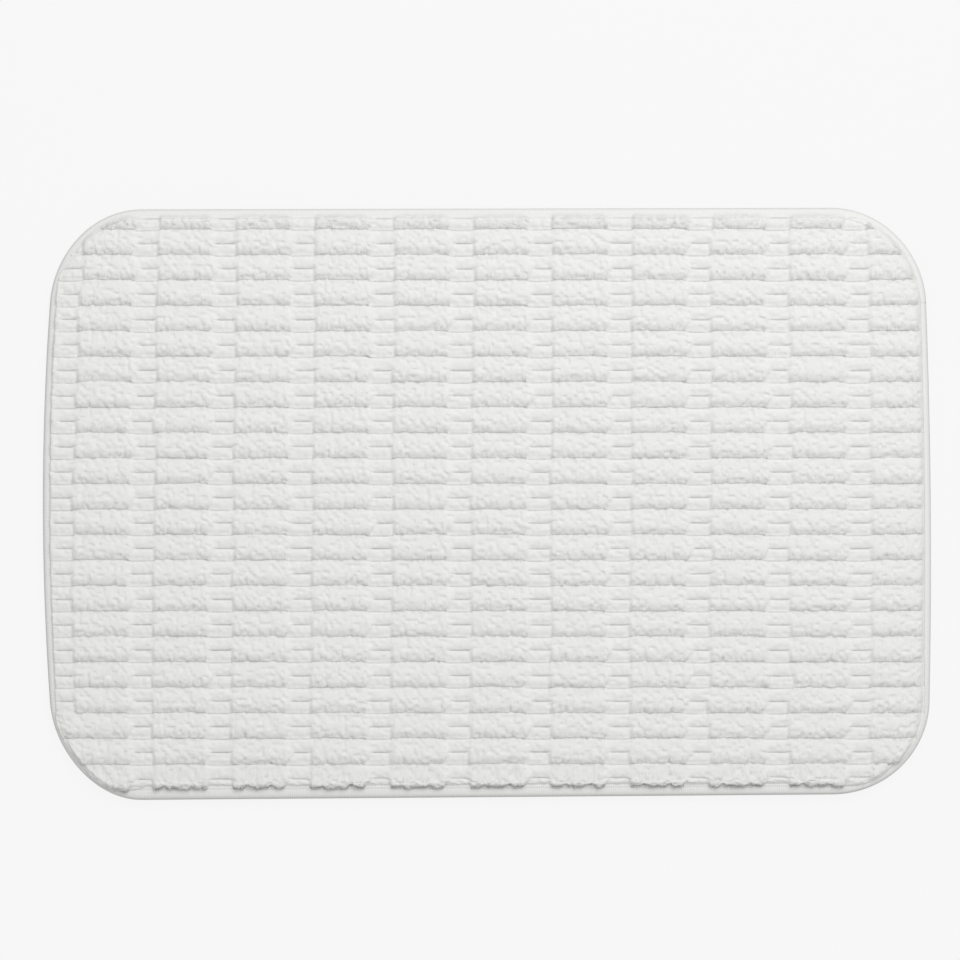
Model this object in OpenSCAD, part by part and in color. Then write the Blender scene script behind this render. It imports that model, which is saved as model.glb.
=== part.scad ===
// Plush bath mat: a foam slab under a knitted cloth with rows of sculpted pile,
// a ribbed tape bound round the edge and a non-slip underside.
// Millimetres, +Z up, origin on the floor under the middle of the mat.

/* [Size] */
// Length of the finished mat, along X
mat_l = 900; // [890:1:910]
// Width of the finished mat, along Y
mat_w = 600; // [595:1:605]
// Radius of the four corners
corner_r = 96; // [88:1:104]

/* [Layers] */
// Thickness of the backing cloth
backing_t = 0.8; // [0.6:0.1:1]
// Thickness of the memory foam slab
foam_t = 12; // [10:0.5:14]
// Thickness of the knitted ground cloth that carries the pile
ground_t = 1; // [0.8:0.1:1.2]

/* [Edge binding] */
// Thickness of the binding tape, which is also the height of the grip dots
tape_t = 1.2; // [1:0.1:1.4]
// Width of the tape's flat lap on the face, which the pile hides
face_lap = 3; // [2:0.5:4]
// Width of the tape's flat lap on the underside, which the mat rests on
under_lap = 5; // [4:0.5:7]
// Spacing of the stitches that hold the tape
stitch_pitch = 6; // [6:0.5:10]
// Length of thread that shows in each stitch
stitch_l = 4.6; // [3:0.1:4.6]
// Thickness of the sewing thread
thread_d = 0.5; // [0.4:0.05:0.6]

/* [Pile] */
// Width of bare tape that shows round the pile, seen from above
bare_band = 7; // [6:0.5:8]
// Height of the tall bars above the ground cloth
bar_h = 8; // [7:0.25:9]
// Height of the low ribs above the ground cloth
rib_h = 4; // [3.5:0.25:4.5]
// Distance from the back edge of the mat to the lower line of the first row
first_line = 22.8; // [20:0.2:24]
// Distance from the lower line of the last row to the front edge of the mat
last_line = 11.8; // [11.4:0.1:14]
// Distance from one column of links to the next
link_pitch = 80; // [79:0.25:80.5]
// Width of a link, the low stretch between two bars
link_w = 23.5; // [22:0.5:25]
// Distance from the left edge of the mat to the middle of the first links
first_link = 25.5; // [24:0.5:27]
// How much higher up the mat a bar starts than the links beside it
bar_lift = 1.2; // [0.8:0.1:1.6]

/* [Underside] */
// Diameter of a grip dot
dot_d = 9; // [7:0.5:10]
// Spacing of the grip dots in a line
dot_pitch = 30; // [28:1:36]
// Width of the care label
label_w = 50; // [40:1:60]
// Length of care label that shows beyond the tape
label_l = 40; // [30:1:45]
// Thickness of the care label
label_t = 0.4; // [0.3:0.1:0.5]

/* [Hidden] */
$fn = 96;
row_count = 23;
column_count = 11;
gap = 0.1;                                 // clear space between neighbouring soft pieces
backing_z = tape_t;
foam_z = backing_z + backing_t;
ground_z = foam_z + foam_t;
face_z = ground_z + ground_t;              // top of the ground cloth, where the pile stands
edge_h = face_z + tape_t;                  // height of the bound edge
edge_r = edge_h / 2;                       // the tape turns round the edge in a half circle
cloth_inset = edge_r + gap;                // the cloths end where the half circle starts
lap_top_inset = edge_r + face_lap;
lap_under_inset = edge_r + under_lap;
foam_reach = max(edge_r - foam_z, ground_z - edge_r);
foam_inset = edge_r - sqrt(pow(edge_r - tape_t, 2) - pow(foam_reach, 2)) + gap;
seam_inset = edge_r + face_lap / 2;        // one seam goes through the tape, both cloths and the foam
side_x = mat_l - 2 * corner_r;
side_y = mat_w - 2 * corner_r;
row_pitch = (mat_w - first_line - last_line) / (row_count - 1);
overshoot = 1;                             // cutting solids run past what they cut
bar_round = 30;                            // radius of a bar's back, across the row
bar_crest = 8;                             // the crest's distance from the bar's lower side
rib_round = 8;                             // radius of a low rib
dot_line = dot_pitch * sqrt(3) / 2;        // spacing of one line of dots to the next
dot_margin = lap_under_inset + 3;
label_x = mat_l / 2 - 160;
label_tuck = under_lap - 0.5;              // the seam catches the end of the label under the tape

function row_name(r) = str("pile_row_", r < 10 ? "0" : "", r);
function row_low(r) = mat_w / 2 - first_line - (r - 1) * row_pitch;
function link_x(c) = -mat_l / 2 + first_link + c * link_pitch;

// The mat's outline, moved in by an inset
module outline(inset) {
    r = corner_r - inset;
    square([mat_l - 2 * inset, side_y], center = true);
    square([side_x, mat_w - 2 * inset], center = true);
    for (x = [-1, 1], y = [-1, 1])
        translate([x * side_x / 2, y * side_y / 2]) circle(r);
}

module plate(inset, low, high) {
    translate([0, 0, low]) linear_extrude(high - low) outline(inset);
}

// Carries a section round the mat. The section's X is the distance in from the edge.
module sweep_edge() {
    for (turn = [0, 180]) {
        rotate(turn) translate([-side_x / 2, -mat_w / 2, 0])
            rotate([90, 0, 90]) linear_extrude(side_x) children();
        rotate(turn + 90) translate([-side_y / 2, -mat_l / 2, 0])
            rotate([90, 0, 90]) linear_extrude(side_y) children();
    }
    for (x = [-1, 1], y = [-1, 1])
        translate([x * side_x / 2, y * side_y / 2, 0])
            rotate(x > 0 ? (y > 0 ? 0 : 270) : (y > 0 ? 90 : 180))
                rotate_extrude(angle = 90) translate([corner_r, 0]) mirror([1, 0]) children();
}

// Sets copies of a child, which lies along X, end to end round the mat
module along_edge(inset, pitch) {
    turn_r = corner_r - inset;
    count_x = floor(side_x / pitch);
    count_y = floor(side_y / pitch);
    count_turn = floor(turn_r * PI / 2 / pitch);
    for (side = [-1, 1]) {
        for (i = [0:count_x - 1])
            translate([side_x * ((i + 0.5) / count_x - 0.5), side * (mat_w / 2 - inset), 0]) children();
        for (i = [0:count_y - 1])
            translate([side * (mat_l / 2 - inset), side_y * ((i + 0.5) / count_y - 0.5), 0])
                rotate(90) children();
    }
    for (x = [-1, 1], y = [-1, 1], i = [0:count_turn - 1])
        translate([x * side_x / 2, y * side_y / 2, 0])
            rotate((x > 0 ? (y > 0 ? 0 : 270) : (y > 0 ? 90 : 180)) + 90 * (i + 0.5) / count_turn)
                translate([turn_r, 0, 0]) rotate(90) children();
}

module foam_core() {
    color("#f4efe2") plate(foam_inset, foam_z, ground_z);
}

module ground_cloth() {
    color("#ecece9") plate(cloth_inset, ground_z, face_z);
}

module backing_cloth() {
    color("#e4e3df") plate(cloth_inset, backing_z, foam_z);
}

module tape_section() {
    difference() {
        union() {
            intersection() {
                translate([edge_r, edge_r]) circle(edge_r);
                square([edge_r, edge_h]);
            }
            translate([edge_r, 0]) square([under_lap, tape_t]);
            translate([edge_r, edge_h - tape_t]) square([face_lap, tape_t]);
        }
        translate([edge_r, edge_r]) circle(edge_r - tape_t);
        translate([edge_r, tape_t]) square([under_lap + overshoot, edge_h - 2 * tape_t]);
        for (low = [-overshoot, edge_h - thread_d])
            translate([seam_inset - thread_d, low]) square([2 * thread_d, thread_d + overshoot]);
    }
}

module label_pocket() {
    translate([label_x - label_w / 2, mat_w / 2 - lap_under_inset - gap, tape_t - label_t])
        cube([label_w, label_tuck + 2 * gap, label_t + gap]);
}

module edge_binding() {
    color("#dededb") difference() {
        sweep_edge() tape_section();
        label_pocket();
    }
}

module stitch(low) {
    translate([-stitch_l / 2, -thread_d / 2, low]) cube([stitch_l, thread_d, thread_d]);
}

// Both threads are pulled down into a groove in the soft tape, flush with its surface
module binding_face_thread() {
    color("#f0f0ee") along_edge(seam_inset, stitch_pitch) stitch(edge_h - thread_d);
}

module binding_under_thread() {
    color("#f0f0ee") along_edge(seam_inset, stitch_pitch) stitch(0);
}

module grip_dots() {
    columns = ceil(mat_l / dot_pitch / 2);
    lines = ceil(mat_w / dot_line / 2);
    color("#d5d4cf")
        for (line = [-lines:lines], column = [-columns:columns])
            let (x = (column + (line % 2 == 0 ? 0 : 0.5)) * dot_pitch, y = line * dot_line)
                if (dot_fits(x, y)) translate([x, y, 0]) cylinder(h = tape_t, d = dot_d);
}

// True where a dot lies wholly on the backing cloth, clear of the tape and the label
function dot_fits(x, y) =
    let (reach = dot_margin + dot_d / 2,
         over_x = max(abs(x) - side_x / 2, 0),
         over_y = max(abs(y) - side_y / 2, 0))
    norm([over_x, over_y]) <= corner_r - reach
    && !(abs(x - label_x) < label_w / 2 + dot_d && y > mat_w / 2 - lap_under_inset - label_l - dot_d);

module care_label() {
    color("#f7f7f5")
        translate([label_x - label_w / 2 + gap, mat_w / 2 - lap_under_inset - label_l, tape_t - label_t])
            cube([label_w - 2 * gap, label_l + label_tuck - gap, label_t]);
}

// A round-backed ridge along X, as wide as the space it is given
module ridge(low_x, high_x, low_y, wide, high, radius, crest) {
    intersection() {
        translate([low_x, low_y, face_z]) cube([high_x - low_x, wide, high + overshoot]);
        translate([low_x, low_y + crest, face_z + high - radius])
            rotate([0, 90, 0]) cylinder(h = high_x - low_x, r = radius);
    }
}

// One row: two low ribs side by side for its whole length, with a tall bar between each two links
module pile_row(r) {
    low = row_low(r);
    rib_w = row_pitch / 2;
    color("#f2f2f0") intersection() {
        union() {
            for (rib = [0, 1])
                ridge(-mat_l / 2, mat_l / 2, low + rib * rib_w, rib_w - rib * gap, rib_h, rib_round, rib_w / 2);
            for (c = [0:column_count - 1])
                ridge(link_x(c) + link_w / 2, link_x(c + 1) - link_w / 2, low + bar_lift,
                      row_pitch - bar_lift - gap, bar_h, bar_round, bar_crest);
        }
        union() {
            plate(lap_top_inset + gap, face_z, edge_h + gap);
            plate(bare_band, edge_h + gap, face_z + bar_h + overshoot);
        }
    }
}

foam_core();
ground_cloth();
backing_cloth();
edge_binding();
binding_face_thread();
binding_under_thread();
grip_dots();
care_label();
for (r = [1:row_count])
    pile_row(r);
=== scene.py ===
import math

import bpy
import numpy as np
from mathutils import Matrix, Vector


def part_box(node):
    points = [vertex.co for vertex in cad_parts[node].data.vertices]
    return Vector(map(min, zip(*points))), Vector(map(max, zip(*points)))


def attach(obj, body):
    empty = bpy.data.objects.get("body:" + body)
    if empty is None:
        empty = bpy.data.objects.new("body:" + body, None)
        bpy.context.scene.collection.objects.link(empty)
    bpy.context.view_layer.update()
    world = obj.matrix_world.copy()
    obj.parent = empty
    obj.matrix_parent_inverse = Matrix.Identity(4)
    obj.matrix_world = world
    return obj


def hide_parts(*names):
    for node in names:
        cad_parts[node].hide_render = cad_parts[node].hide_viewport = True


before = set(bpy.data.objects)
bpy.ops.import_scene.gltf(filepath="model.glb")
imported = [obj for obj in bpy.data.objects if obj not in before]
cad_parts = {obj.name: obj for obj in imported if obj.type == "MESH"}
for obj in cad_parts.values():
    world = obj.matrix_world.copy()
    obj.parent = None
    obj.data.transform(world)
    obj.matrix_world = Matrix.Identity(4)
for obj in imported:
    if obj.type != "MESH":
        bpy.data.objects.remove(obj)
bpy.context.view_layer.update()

mm = 0.001

# The mat itself. Everything else is placed from these and from the frame's own boxes.
mat = {
    "halfLength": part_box("edge_binding")[1].x / mm,
    "halfWidth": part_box("edge_binding")[1].y / mm,
    "cornerRadius": 96.0,
    "edgeHeight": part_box("edge_binding")[1].z / mm,
    "groundTop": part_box("ground_cloth")[1].z / mm,      # where the pile stands
}


def toLinear(hexColour):
    channels = [int(hexColour[i:i + 2], 16) / 255 for i in (1, 3, 5)]
    return tuple(c / 12.92 if c <= 0.04045 else ((c + 0.055) / 1.055) ** 2.4 for c in channels) + (1.0,)


# Adds one node to a shader or geometry tree, with its settings, socket values and links
def addNode(tree, kind, settings=None, values=None, links=None):
    node = tree.nodes.new(kind)
    for name, value in (settings or {}).items():
        setattr(node, name, value)
    for socket, value in (values or {}).items():
        node.inputs[socket].default_value = value
    for socket, source in (links or {}).items():
        tree.links.new(source, node.inputs[socket])
    return node


def newMaterial(name):
    material = bpy.data.materials.new(name)
    material.use_nodes = True
    material.node_tree.nodes.clear()
    return material, material.node_tree


# Ends a material: a tone and a height of relief, with the values of its bump and of its shader
def endSurface(material, tone, height, relief, surface):
    tree = material.node_tree
    bump = addNode(tree, "ShaderNodeBump", values=relief, links={"Height": height})
    shader = addNode(tree, "ShaderNodeBsdfPrincipled", values=surface,
                     links={"Base Color": tone, "Normal": bump.outputs["Normal"]})
    addNode(tree, "ShaderNodeOutputMaterial", links={"Surface": shader.outputs["BSDF"]})
    return material


def smoothStep(value):
    t = np.clip(value, 0, 1)
    return t * t * (3 - 2 * t)


# How far a point lies inside the mat's outline, in millimetres
def insideDepth(x, y):
    overX = np.abs(x) - (mat["halfLength"] - mat["cornerRadius"])
    overY = np.abs(y) - (mat["halfWidth"] - mat["cornerRadius"])
    outer = np.hypot(np.maximum(overX, 0), np.maximum(overY, 0))
    return mat["cornerRadius"] - outer - np.minimum(np.maximum(overX, overY), 0)


# Half the mat's width at x, for an outline moved in by an inset
def reachAcross(x, inset):
    overX = np.abs(x) - (mat["halfLength"] - mat["cornerRadius"])
    radius = mat["cornerRadius"] - inset
    turn = np.sqrt(np.maximum(radius ** 2 - np.maximum(overX, 0) ** 2, 0))
    return np.where(overX <= 0, mat["halfWidth"] - inset, mat["halfWidth"] - mat["cornerRadius"] + turn)


# A cut-and-sewn mat is never quite square: its ends bow out in the middle and its front edge runs askew.
# Each value is how far, in millimetres, that part of an edge strays along X or Y.
askew = {
    "leftMiddle": -2.6, "leftCorners": 15.7,
    "rightPeak": 5.0, "rightCorners": -6.5, "rightPeakAt": -0.2,       # a share of half the mat's width
    "frontMiddle": -1.5, "frontTilt": 3.6, "backMiddle": 0.1, "backTilt": 1.0,
    "endHold": 6, "sideHold": 14,    # a higher power keeps the stray closer to the edge
}


def bowed(points):
    u = points[:, 0] / mat["halfLength"]
    v = points[:, 1] / mat["halfWidth"]
    ends = np.where(u < 0, askew["leftMiddle"] + askew["leftCorners"] * v ** 2,
                    askew["rightPeak"] + askew["rightCorners"] * (v - askew["rightPeakAt"]) ** 2)
    sides = np.where(v < 0, askew["frontMiddle"] + askew["frontTilt"] * u,
                     askew["backMiddle"] + askew["backTilt"] * u)
    moved = points.copy()
    moved[:, 0] += ends * np.abs(u) ** askew["endHold"]
    moved[:, 1] += sides * np.abs(v) ** askew["sideHold"]
    return moved


# Puts a new object in the scene
def addObject(name, data):
    made = bpy.data.objects.new(name, data)
    bpy.context.scene.collection.objects.link(made)
    return made


# A mesh object from points in millimetres, bowed with the mat
def makeObject(name, points, faces, material, smooth=True):
    mesh = bpy.data.meshes.new(name)
    mesh.from_pydata((bowed(points) * mm).tolist(), [], faces)
    if smooth:
        mesh.shade_smooth()
    mesh.materials.append(material)
    return addObject(name, mesh)


# The side faces of a tube of points that runs in closed rings
def tubeFaces(count, ring):
    return [(i * ring + j, (i + 1) * ring + j, (i + 1) * ring + (j + 1) % ring, i * ring + (j + 1) % ring)
            for i in range(count - 1) for j in range(ring)]


# A closed slab over a grid of points, between a lower and an upper height
def closedSlab(name, x, y, low, high, material, smooth):
    upper = np.stack([x, y, high], -1)
    lower = np.stack([x, y, low], -1)[:, ::-1]
    count, lanes = x.shape
    ring = 2 * lanes
    faces = tubeFaces(count, ring)
    for i, outward in ((0, 1), (count - 1, -1)):
        faces += [(i * ring + j, i * ring + j + 1, (i + 1) * ring - 2 - j, (i + 1) * ring - 1 - j)[::outward]
                  for j in range(lanes - 1)]
    return makeObject(name, np.concatenate([upper, lower], 1).reshape(-1, 3), faces, material, smooth)


# Smooth random values from 0 to 1, over a lattice of the given spacing
def softNoise(x, y, spacing, seed):
    table = np.random.default_rng(seed).random((256, 256))
    u, v = x / spacing + 1000, y / spacing + 1000
    i, j = np.floor(u).astype(int), np.floor(v).astype(int)
    s, t = smoothStep(u - i), smoothStep(v - j)
    i, j, iNext, jNext = i % 256, j % 256, (i + 1) % 256, (j + 1) % 256
    low = table[i, j] * (1 - s) + table[iNext, j] * s
    high = table[i, jNext] * (1 - s) + table[iNext, jNext] * s
    return low * (1 - t) + high * t


# Rounded bumps with sharp creases between them, as bunched fibres have. 1 on a bump's top.
def clumps(x, y, spacing, seed):
    table = np.random.default_rng(seed).random((256, 256, 2))
    u, v = x / spacing + 1000, y / spacing + 1000
    i, j = np.floor(u).astype(int), np.floor(v).astype(int)
    nearest = np.full(u.shape, 9.0)
    for di in (-1, 0, 1):
        for dj in (-1, 0, 1):
            spot = table[(i + di) % 256, (j + dj) % 256]
            away = (i + di + spot[..., 0] - u) ** 2 + (j + dj + spot[..., 1] - v) ** 2
            nearest = np.minimum(nearest, away)
    return 1 - np.clip(nearest, 0, 1)


# One row of pile: two low ribs along its whole length, and tall bars of cut pile between the links.
# Heights are in millimetres above the ground cloth. Tables run from a row's lower line, 0, to its upper, 1.
pile = {
    "rows": 23, "columns": 11,
    "stepAlong": 1.3,                # spacing of the points along a row
    "narrowest": 1.5,                # a row ends where the outline leaves it less width than this
    "across": [0, .012, .026, .034, .044, .062, .09, .13, .18, .22, .26, .3, .345, .39, .43, .46, .485, .5,
               .515, .53, .555, .59, .63, .67, .71, .75, .79, .83, .87, .905, .935, .96, .98, .992, 1],
    "barProfile": [(0, 4.9), (.012, 5.6), (.026, 6.15), (.044, 6.5), (.09, 6.9), (.15, 7.18), (.24, 7.34),
                   (.35, 7.4), (.5, 7.3), (.6, 7.07), (.7, 6.64), (.8, 6.15), (.9, 5.75), (.955, 5.5),
                   (.98, 5.3), (.992, 5.1), (1, 4.9)],
    "linkProfile": [(0, 1.9), (.014, 2.1), (.034, 2.8), (.06, 3.2), (.09, 3.35), (.13, 3.3), (.16, 3.95),
                    (.24, 4.5), (.32, 4.6), (.4, 4.4), (.455, 4.0), (.475, 3.3), (.49, 1.5), (.515, 1.5),
                    (.535, 2.9), (.57, 3.7), (.66, 4.4), (.78, 4.8), (.9, 4.5), (.96, 4.0), (.985, 3.2),
                    (1, 1.9)],
    "linkPitch": 80.0, "firstLink": 25.5,
    "drift": (2.0, 2.5, 8.0),        # how far the right and left columns stand off, and the left one's lean
    "linkStray": 0.9,                # how far one link strays from its column
    # a link's half width to its right, across the row, and how far the next bar's end leans in over its left
    "linkHalf": [(0, 13.2), (.3, 12.9), (.5, 12.2), (.6, 12.2), (.8, 12.6), (1, 13.2)],
    "linkLean": [(0, 0), (.1, 0.05), (.3, 0.45), (.5, 1), (.62, 0.9), (.8, 0.4), (1, 0)],
    "leanMost": 6.5,
    # how wide the slope is from a link up to its left and its right bar, and the shear between the two
    "softLeft": [(0, 1.8), (.2, 2.2), (.35, 6.0), (.6, 8.0), (1, 9.0)],
    "softRight": [(0, 3.5), (.3, 4.0), (.5, 7.0), (.7, 9.0), (1, 9.0)],
    "shear": [(0, 2.2), (.3, 3.0), (.6, 9.0), (.9, 6.0), (1, 2.2)],
    "wobble": 0.8,                   # how unevenly a bar's end runs
    "valleyDepth": 1.5, "valleyWidth": 1.8,   # the hollow at a link's right end, under the next bar
    "barStart": 12.0,                # where a bar starts, from its link's middle
    "creases": (15.0, 41.5),         # where a bar is nipped in, from its left end
    "creaseStray": 1.2, "creaseWidth": 1.1, "nipWidth": 2.6,
    "nipLast": 4.0,                  # how far the last row's edge is drawn in between its lobes
    "barStray": 0.25,                # how much higher or lower one bar stands than its neighbours
    "coarseClump": 2.9, "fineClump": 1.8, "pit": 1.9, "patch": 9.0,   # spacings of the pile's unevenness
    "swellLength": 26.0, "swell": 0.9,
    "bunch": 3.4, "wanderLength": 60.0, "wander": 0.7,
    "barRaise": 1.9, "lastRaise": -3.2,       # how much higher up the mat a bar starts than its links
    "straightFrom": 55.0,            # the last row settles fully only this far in from the mat's ends
    "bareBand": 7.0,                 # width of tape left bare round the pile
    "leftBands": (8.5, 6.0),         # the same at the left end, for most rows and for the last ones
    "cornerBands": (5.2, 8.0),       # the same at the front corners, and where the last row ends at the right
    "cornerFrom": 330.0, "cornerOver": 70.0,  # where along the mat those corners start, and how gently
    "edgeFall": 8.0,                 # how far in from its end the pile reaches full height
    "frontReach": 4.5,               # the same at the front edge
    "leftFall": 0.4, "frontFall": 0.5,        # the share of its height that it has at once at those two edges
    "leftEnd": 415.0, "leftOver": 20.0,       # where along the mat the left edge's share starts, and how gently
    "lowest": 0.25,                  # the pile never thins to less than this
    "overLap": 11.2, "lapTop": 1.3,  # the pile's base steps up onto the tape's lap
    # the root tone is painted shade, deep among the fibres
    "lightTone": "#F5F5F3", "shadeTone": "#EAEAE8", "rootShadeTone": "#D8D8D5",
    "tuftsPerSquare": 0.36, "tuftWidth": 0.45, "tuftLength": 1.4,
    "lastTufts": 1.8, "lastTuftLength": 1.6,  # the last row is fluffier by these factors
    "tuckUnder": 0.8,                # a row's upper edge runs on under the row above
    "firstCreep": 0.9, "creep": 0.2,          # how far the rows have worked towards the front edge
    "lastSqueeze": 0.56,             # the tape pushes the last row's lower rib up to this share of its width
    "lastDroop": 0.17,               # and its bars stoop a little towards the edge
    "seed": 41,
}


# Cut pile: microfibre, sheared into ridges. Dry, matt and bright, with a soft bloom at grazing angles.
def cutPile():
    material, tree = newMaterial("cutPileMicrofibre")
    place = addNode(tree, "ShaderNodeTexCoord")
    # bundles of fibres are 2 to 3 mm across and differ slightly in tone
    bundles = addNode(tree, "ShaderNodeTexNoise", values={"Scale": 420.0, "Detail": 3.0},
                      links={"Vector": place.outputs["Object"]})
    tone = addNode(tree, "ShaderNodeMix", {"data_type": "RGBA"},
                   {6: toLinear(pile["shadeTone"]), 7: toLinear(pile["lightTone"])},
                   {0: bundles.outputs["Fac"]})
    # painted shade: between the fibres the tone darkens towards the root, where less light comes back
    depth = addNode(tree, "ShaderNodeAttribute", {"attribute_name": "pileDepth"})
    deep = addNode(tree, "ShaderNodeMix", {"data_type": "RGBA"}, {7: toLinear(pile["rootShadeTone"])},
                   {0: depth.outputs["Fac"], 6: tone.outputs[2]})
    # single fibre tips are finer than shows, so the nap is drawn at 1 mm, combed across the mat
    combed = addNode(tree, "ShaderNodeMapping", values={"Scale": (1200.0, 420.0, 600.0)},
                     links={"Vector": place.outputs["Object"]})
    nap = addNode(tree, "ShaderNodeTexNoise", values={"Scale": 1.0, "Detail": 4.0, "Roughness": 0.65},
                  links={"Vector": combed.outputs["Vector"]})
    # the nap is roughest low on a bar, where the fibres part
    parted = addNode(tree, "ShaderNodeAttribute", {"attribute_name": "tuftShare"})
    rough = addNode(tree, "ShaderNodeMath", {"operation": "ADD"}, {1: 0.3}, {0: parted.outputs["Fac"]})
    raised = addNode(tree, "ShaderNodeMath", {"operation": "MULTIPLY"},
                     links={0: nap.outputs["Fac"], 1: rough.outputs[0]})
    return endSurface(material, deep.outputs[2], raised.outputs[0], {"Strength": 1.0, "Distance": 0.001},
                      {"Roughness": 0.95, "Specular IOR Level": 0.15, "Sheen Weight": 0.3,
                       "Sheen Roughness": 0.6})


# Reads one of the pile's tables
def profile(name, v):
    return np.interp(v, *zip(*pile[name]))


# How far down the mat a row is, from 0 at the back to 1 at the front
def rowShare(number):
    return (number - 1) / (pile["rows"] - 1)


# Width of tape left bare at the mat's front edge. The pile spreads over it at both corners,
# but the last row stops short at the right one.
def frontBand(x, last):
    spread, short = pile["cornerBands"]
    left = smoothStep((-x - pile["cornerFrom"]) / pile["cornerOver"])
    right = smoothStep((x - pile["cornerFrom"]) / pile["cornerOver"])
    return pile["bareBand"] * (1 - left - right) + spread * left + (short if last else spread) * right


# The middle of one link in one row. The columns lean a little, as the cloth was fed in slightly askew.
def linkMiddle(number, column):
    right, left, lean = pile["drift"]
    across = column / (pile["columns"] - 1)
    drift = right * across - (1 - across) * (left + lean * rowShare(number))
    stray = np.random.default_rng(pile["seed"] + 100 * number + column).normal(0, pile["linkStray"])
    return -mat["halfLength"] + pile["firstLink"] + pile["linkPitch"] * column + drift + stray


# A row's points, in columns along it as far as the outline lets it run
def rowGrid(number, low, high):
    inset, last = pile["bareBand"], number == pile["rows"]

    def sides(x):
        return np.maximum(low, -reachAcross(x, frontBand(x, last))), np.minimum(high, reachAcross(x, inset))

    leftBand = np.interp(number, (19, 22), pile["leftBands"])
    rightBand = np.interp(number, (18, 21), (inset, pile["cornerBands"][0]))
    along = np.arange(-mat["halfLength"] + leftBand, mat["halfLength"] - rightBand + 0.01, 0.2)
    below, above = sides(along)
    along = along[above - below > pile["narrowest"]]
    x = np.linspace(along[0], along[-1], round((along[-1] - along[0]) / pile["stepAlong"]))
    below, above = sides(x)
    t = np.array(pile["across"])
    return np.repeat(x[:, None], len(t), 1), below[:, None] + (above - below)[:, None] * t[None, :]


# How much of each feature of the row a point has, from 0 to 1. Lift alone is in millimetres.
def rowPattern(number, x, v):
    rng = np.random.default_rng(pile["seed"] + number)
    bar, raised, raisedAbove = (np.ones_like(x) for _ in range(3))
    valley, crease, nip, lift = (np.zeros_like(x) for _ in range(4))
    widest = pile["linkHalf"][0][1]
    half, softLeft, softRight = (profile(name, v) for name in ("linkHalf", "softLeft", "softRight"))
    shear = profile("shear", v) * (2.0 if number == pile["rows"] else 1.0)
    # the last rows end in a bar at the left, where the outline has cut their first link away
    for column in range(1 if number > pile["rows"] - 3 else 0, pile["columns"]):
        middle = linkMiddle(number, column)
        wobble = pile["wobble"] * (softNoise(v * 5, x * 0 + column, 1.0, pile["seed"] + number) - 0.5)
        soft = np.where(x < middle, softLeft, softRight)
        lean = profile("linkLean", v) * rng.uniform(0.15, 1.0) * pile["leanMost"] * (x < middle)
        bar *= smoothStep((np.abs(x - middle + wobble) + lean - half + soft / 2) / soft)
        raised *= smoothStep((np.abs(x - middle) - widest + shear / 2) / shear)
        raisedAbove *= smoothStep((np.abs(x - linkMiddle(number - 1, column)) - widest + shear / 2) / shear)
        hollow = np.exp(-((x - middle - widest + 1.0) / pile["valleyWidth"]) ** 2)
        valley = np.maximum(valley, hollow * smoothStep((0.56 - v) / 0.12) * rng.uniform(0.5, 1.0))
        for place in pile["creases"]:
            spot = middle + pile["barStart"] + place + rng.normal(0, pile["creaseStray"])
            deep = rng.uniform(0.15, 1.0)
            bend = rng.normal(0, 1.5) * (v - 0.3)
            upper = rng.uniform(0.35, 1.0) if rng.random() < 0.25 else rng.uniform(0.25, 0.5)
            fold = np.exp(-((x - spot - bend) / pile["creaseWidth"]) ** 2)
            crease = np.maximum(crease, deep * fold * smoothStep((upper - v) / 0.25 + 0.5))
            nip = np.maximum(nip, deep * np.exp(-((x - spot) / pile["nipWidth"]) ** 2))
        lift += rng.normal(0, pile["barStray"]) * smoothStep(1 - np.abs(x - middle - 40) / 34)
    return {"bar": bar, "raised": raised, "raisedAbove": raisedAbove, "valley": valley, "crease": crease,
            "nip": nip, "lift": lift, "lower": smoothStep((0.42 - v) / 0.3)}
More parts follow.
